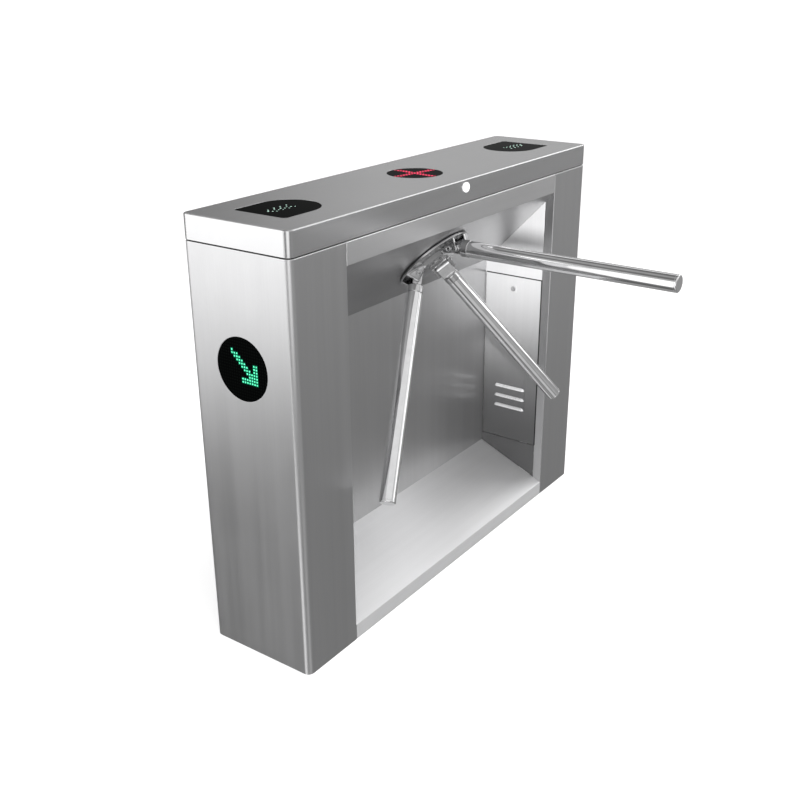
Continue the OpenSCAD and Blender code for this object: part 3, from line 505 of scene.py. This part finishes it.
# Reflectors and flags round the object: brightness, side it is measured from, from and to in
# degrees with their softness, from and to in height (the sine of the elevation) with theirs
CARDS = [
    (0.26, from_right, (42, 130, 7), (0.02, 0.50, 0.06)),     # darkens the lid's near end
    (0.12, from_left, (-180, 180, 1), (0.50, 0.57, 0.02)),    # dark line in the arms
    (1.40, from_right, (-35, 90, 8), (0.60, 0.77, 0.03)),     # lights the niche floor
    (0.90, from_left, (-135, 8, 8), (0.46, 1.10, 0.05)),      # soft front light
    (0.20, from_left, (22, 165, 10), (0.72, 1.10, 0.04)),     # dark streak in the arms
    (0.40, from_left, (55, 110, 8), (0.86, 1.10, 0.02)),      # high behind
    (1.30, from_left, (-135, -116, 5), (0.15, 0.47, 0.05)),   # front right
    (0.45, from_left, (-112, -88, 6), (-0.48, -0.14, 0.05)),   # low in front
    (0.64, from_left, (-88, -56, 6), (-0.84, -0.46, 0.04)),   # lower, front left
    (0.16, from_left, (-62, 8, 8), (-0.93, -0.86, 0.015)),    # almost straight down
    (1.60, from_left, (-12, 12, 4), (-0.90, -0.46, 0.04)),    # white band in the upper arm
    (2.20, from_left, (-156, -120, 5), (0.01, 0.11, 0.02)),   # bright line in the lower arms
    (3.00, from_right, (-38, 10, 6), (0.34, 0.54, 0.05)),     # lights the folded edges
]

light = graph.ramp(height, -0.46, -0.18, 0.26, 0.37)
light = graph.between(graph.ramp(height, -0.10, 0.20), light, 0.56)
light = graph.between(graph.ramp(height, -0.64, -0.70), light, 0.34)
for level, side, (start, end, soft), (low, high, fade) in CARDS:
    card = graph.math("MULTIPLY", window(side, start, end, soft), window(height, low, high, fade))
    light = graph.between(card, light, level)

# The left side is bright high up and fades towards the floor
fade_left = graph.ramp(height, -0.43, -0.31, 0.14, 1.35)
fade_left = graph.between(graph.ramp(height, -0.33, -0.24), fade_left, 2.1)
fade_left = graph.between(graph.ramp(height, 0.50, 0.56), fade_left, light)
light = graph.between(window(from_left, 30, 62, 4), light, fade_left)
fade_front = graph.ramp(height, -0.40, -0.24, 0.24, 1.8)
fade_front = graph.between(graph.ramp(height, 0.10, 0.45), fade_front, light)
fade_front = graph.between(graph.ramp(height, -0.44, -0.50), fade_front, light)
light = graph.between(window(from_left, -58, -18, 5), light, fade_front)
strip = graph.ramp(height, -0.64, -0.54, 0.12, 1.5)
strip = graph.between(graph.ramp(height, 0.50, 0.56), strip, light)
light = graph.between(window(from_left, 13, 26, 2), light, strip)
# The backdrop itself is plain: only reflections and light see the cards
seen = graph.node("ShaderNodeLightPath").outputs["Is Camera Ray"]
background = graph.node("ShaderNodeBackground", {
    "Color": grey(1.0), "Strength": graph.between(seen, light, 0.94)})
graph.node("ShaderNodeOutputWorld", {"Surface": background.outputs[0]})


def lamp(name, kind, place, target, power, **settings):
    """A light that shines from place towards target and isn't seen in reflections."""
    data = bpy.data.lights.new(name, kind)
    data.energy = power
    for key, value in settings.items():
        setattr(data, key, value)
    made = bpy.data.objects.new(name, data)
    scene.collection.objects.link(made)
    made.location = place
    made.rotation_euler = (Vector(target) - Vector(place)).to_track_quat("-Z", "Y").to_euler()
    made.visible_glossy = False


# From the front left, towards the upper part of the right pillar's inner wall
lamp("niche_spot", "SPOT", (-1.9, -2.1, 1.2), (0.433, -0.05, 0.83), 1800,
     spot_size=math.radians(18), spot_blend=1.0, shadow_soft_size=0.12)
lamp("softbox_top", "AREA", (-0.6, -1.2, 3.4), (0, 0, 0.5), 60,
     shape="RECTANGLE", size=2.6, size_y=1.4)

CAMERA_PLACE = (-1.9744, -1.3779, 1.4163)
AZIMUTH, ELEVATION, ROLL = (math.radians(a) for a in (-54.19, 22.66, -0.40))
back = Vector((math.sin(AZIMUTH) * math.cos(ELEVATION), -math.cos(AZIMUTH) * math.cos(ELEVATION),
               math.sin(ELEVATION)))
right = OUT_Z.cross(back).normalized()
up = back.cross(right)
right, up = (right * math.cos(ROLL) + up * math.sin(ROLL), up * math.cos(ROLL) - right * math.sin(ROLL))
lens = bpy.data.cameras.new("camera")
lens.sensor_width = 36.0
lens.lens = 46.52
camera = bpy.data.objects.new("camera", lens)
scene.collection.objects.link(camera)
camera.matrix_world = Matrix.Translation(CAMERA_PLACE) @ Matrix((right, up, back)).transposed().to_4x4()
scene.camera = camera
scene.view_settings.view_transform = "Standard"
